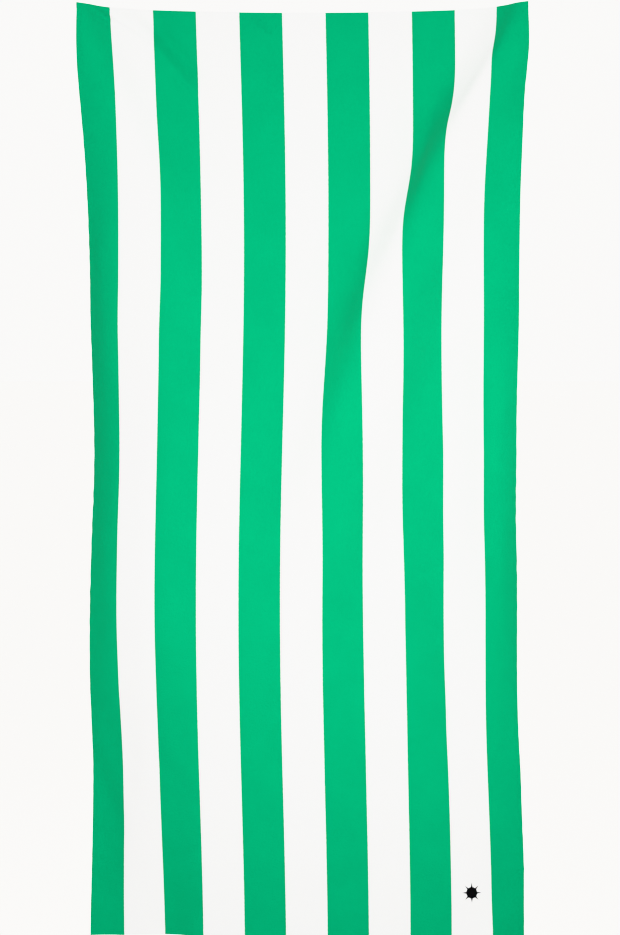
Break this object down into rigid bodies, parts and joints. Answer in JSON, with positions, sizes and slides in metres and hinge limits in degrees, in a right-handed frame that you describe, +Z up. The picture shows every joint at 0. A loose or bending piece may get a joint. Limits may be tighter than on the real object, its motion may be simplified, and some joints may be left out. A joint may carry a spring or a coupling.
{
  "type": "quick dry towel",
  "caption": "Striped microfibre towel hung by its two top corners, with turned and stitched hems, a printed mark, and a tape loop and a blank care label on its back.",
  "frame": {"origin": "midway between the two top corners by which the towel hangs", "axes": "+Z up the hanging towel, +X along its top edge to the right as seen from the printed front, -Y out of the printed front"},
  "size_m": [0.7739, 0.1301, 1.623],
  "materials": {
    "striped_cloth": "matt brushed microfibre, green and white stripes",
    "hem_cloth": "matt brushed microfibre, green and white stripes",
    "sewing_thread": "polyester sewing thread, in the colour of the stripe that it crosses",
    "loop_tape": "woven grosgrain tape",
    "label_satin": "satin ribbon, blank",
    "black_print": "matt transfer print"
  },
  "bodies": {
    "towel": {"bottom_hem": "hem_cloth", "bottom_hem_stitching": "sewing_thread", "corner_emblem": "black_print", "label_sewn_edge": "label_satin", "label_stitching": "sewing_thread", "left_hem": "hem_cloth", "left_hem_stitching": "sewing_thread", "loop_bar_tack": "sewing_thread", "loop_sewn_ends": "loop_tape", "right_hem": "hem_cloth", "right_hem_stitching": "sewing_thread", "top_hem": "hem_cloth", "top_hem_stitching": "sewing_thread", "towel_panel": "striped_cloth"},
    "loop": {"hanging_loop": "loop_tape"},
    "label": {"care_label": "label_satin"}
  },
  "joints": [
    {"name": "loop_swing", "type": "hinge", "parent": "towel", "child": "loop", "pos_m": [0.00278, 0.0583, -0.01905], "axis": [1, 0, 0], "range_deg": [0, 165]},
    {"name": "label_flip", "type": "hinge", "parent": "towel", "child": "label", "pos_m": [0.04322, 0.05665, -0.01899], "axis": [1, 0, 0.0056], "range_deg": [0, 175]}
  ]
}
